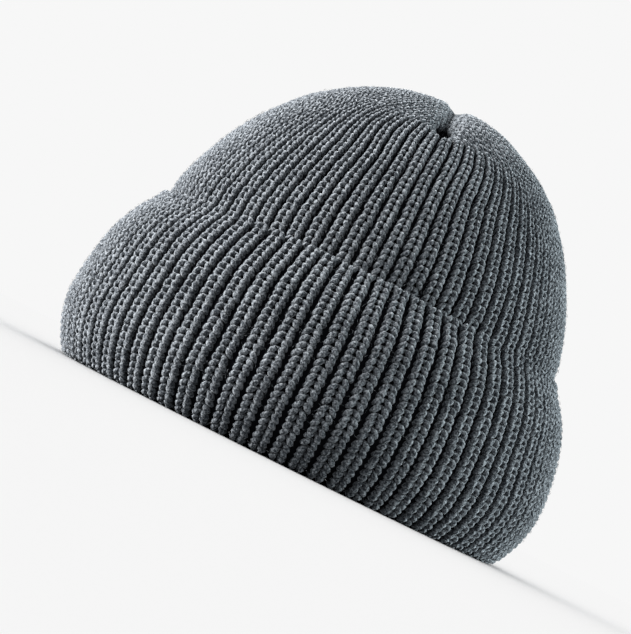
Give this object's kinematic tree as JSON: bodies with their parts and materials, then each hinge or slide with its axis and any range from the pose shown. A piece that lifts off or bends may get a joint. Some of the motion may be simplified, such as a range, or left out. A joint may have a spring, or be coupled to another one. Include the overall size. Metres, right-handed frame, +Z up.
{
  "type": "ribbed knit fisherman beanie with turned-up cuff",
  "caption": "Close-fitting ribbed knit cap with a gathered round crown and a wide turned-up cuff, standing on the cuff's fold, open below for the head.",
  "frame": {"origin": "centre of the flat ring on the surface that the cuff's fold rests on", "axes": "+Z up towards the crown's top, -Y the front of the cap, +Y the back with its seam, +X the wearer's left"},
  "size_m": [0.207, 0.207, 0.1553],
  "materials": {
    "crown_knit": "matte grey chunky rib knit",
    "cuff_knit": "matte grey chunky rib knit, turned up",
    "seam_knit": "matte grey flat seam of the same yarn"
  },
  "bodies": {
    "root": {"crown": "crown_knit", "cuff": "cuff_knit", "back_seam": "seam_knit"}
  },
  "joints": []
}
